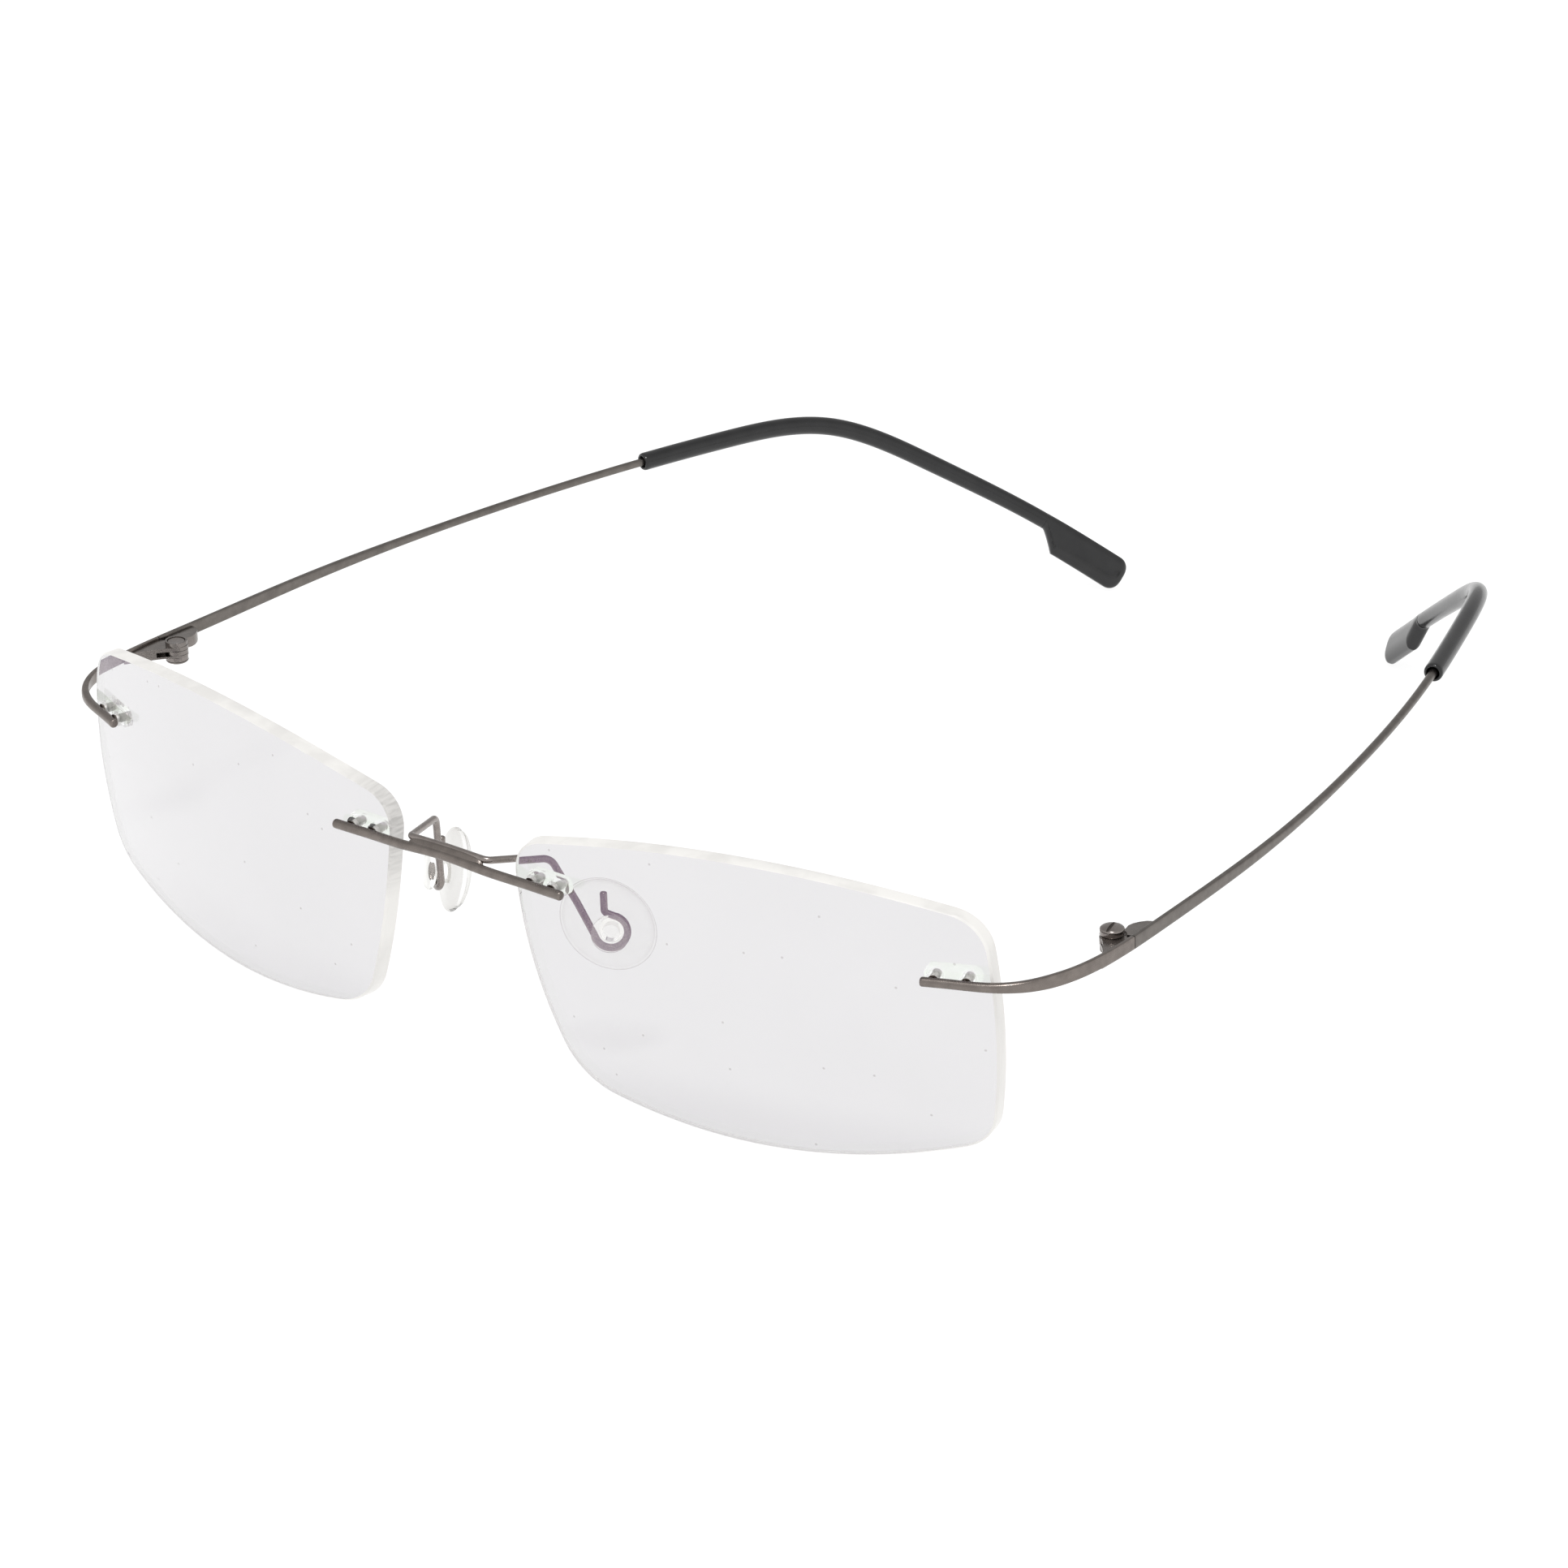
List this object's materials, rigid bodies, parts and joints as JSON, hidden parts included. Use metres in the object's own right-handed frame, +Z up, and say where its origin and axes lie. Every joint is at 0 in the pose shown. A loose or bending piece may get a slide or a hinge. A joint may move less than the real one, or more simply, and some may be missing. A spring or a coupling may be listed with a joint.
{
  "type": "eyeglasses",
  "caption": "Rimless eyeglasses: clear rectangular lenses drilled and hung on bent gunmetal wire, with folding wire temples, black ear tips and silicone nose pads.",
  "frame": {"origin": "on the table, under the middle of the bounding box", "axes": "+Z up, the lenses face -Y and the ear tips point to +Y, +X is the wearer's left"},
  "size_m": [0.1318, 0.1466, 0.0317],
  "materials": {
    "gunmetal_wire": "satin gunmetal",
    "gunmetal_screw": "polished gunmetal",
    "clear_lens": "clear, polished",
    "black_ear_tip": "satin black",
    "clear_silicone": "translucent, smooth"
  },
  "bodies": {
    "front": {"bridge_bar": "gunmetal_wire", "pad_arm_wire": "gunmetal_wire", "lens_right": "clear_lens", "lens_sleeve_nose_right": "clear_lens", "lens_sleeve_outer_right": "clear_lens", "lens_post_nose_right_1": "gunmetal_wire", "lens_post_nose_right_2": "gunmetal_wire", "lens_post_outer_right_1": "gunmetal_wire", "lens_post_outer_right_2": "gunmetal_wire", "end_piece_right": "gunmetal_wire", "hinge_front_right": "gunmetal_wire", "hinge_screw_right": "gunmetal_screw", "lens_left": "clear_lens", "lens_sleeve_nose_left": "clear_lens", "lens_sleeve_outer_left": "clear_lens", "lens_post_nose_left_1": "gunmetal_wire", "lens_post_nose_left_2": "gunmetal_wire", "lens_post_outer_left_1": "gunmetal_wire", "lens_post_outer_left_2": "gunmetal_wire", "end_piece_left": "gunmetal_wire", "hinge_front_left": "gunmetal_wire", "hinge_screw_left": "gunmetal_screw"},
    "temple_body_right": {"temple_right": "gunmetal_wire", "hinge_temple_right": "gunmetal_wire", "temple_tip_right": "black_ear_tip"},
    "nose_pad_body_right": {"nose_pad_right": "clear_silicone", "pad_button_right": "clear_lens"},
    "temple_body_left": {"temple_left": "gunmetal_wire", "hinge_temple_left": "gunmetal_wire", "temple_tip_left": "black_ear_tip"},
    "nose_pad_body_left": {"nose_pad_left": "clear_silicone", "pad_button_left": "clear_lens"}
  },
  "joints": [
    {"name": "temple_fold_right", "type": "hinge", "parent": "front", "child": "temple_body_right", "pos_m": [0.063, -0.04537, 0.02214], "axis": [0, 0.0034, 1], "range_deg": [0, 75]},
    {"name": "temple_fold_left", "type": "hinge", "parent": "front", "child": "temple_body_left", "pos_m": [-0.063, -0.04537, 0.02214], "axis": [0, -0.0034, -1], "range_deg": [0, 70]},
    {"name": "nose_pad_rock_right", "type": "hinge", "parent": "front", "child": "nose_pad_body_right", "pos_m": [0.01196, -0.06053, 0.01495], "axis": [0.7469, 0.5936, 0.2997], "range_deg": [-6, 6]},
    {"name": "nose_pad_rock_left", "type": "hinge", "parent": "front", "child": "nose_pad_body_left", "pos_m": [-0.01196, -0.06053, 0.01495], "axis": [-0.7469, 0.5936, 0.2997], "range_deg": [-6, 6]}
  ]
}
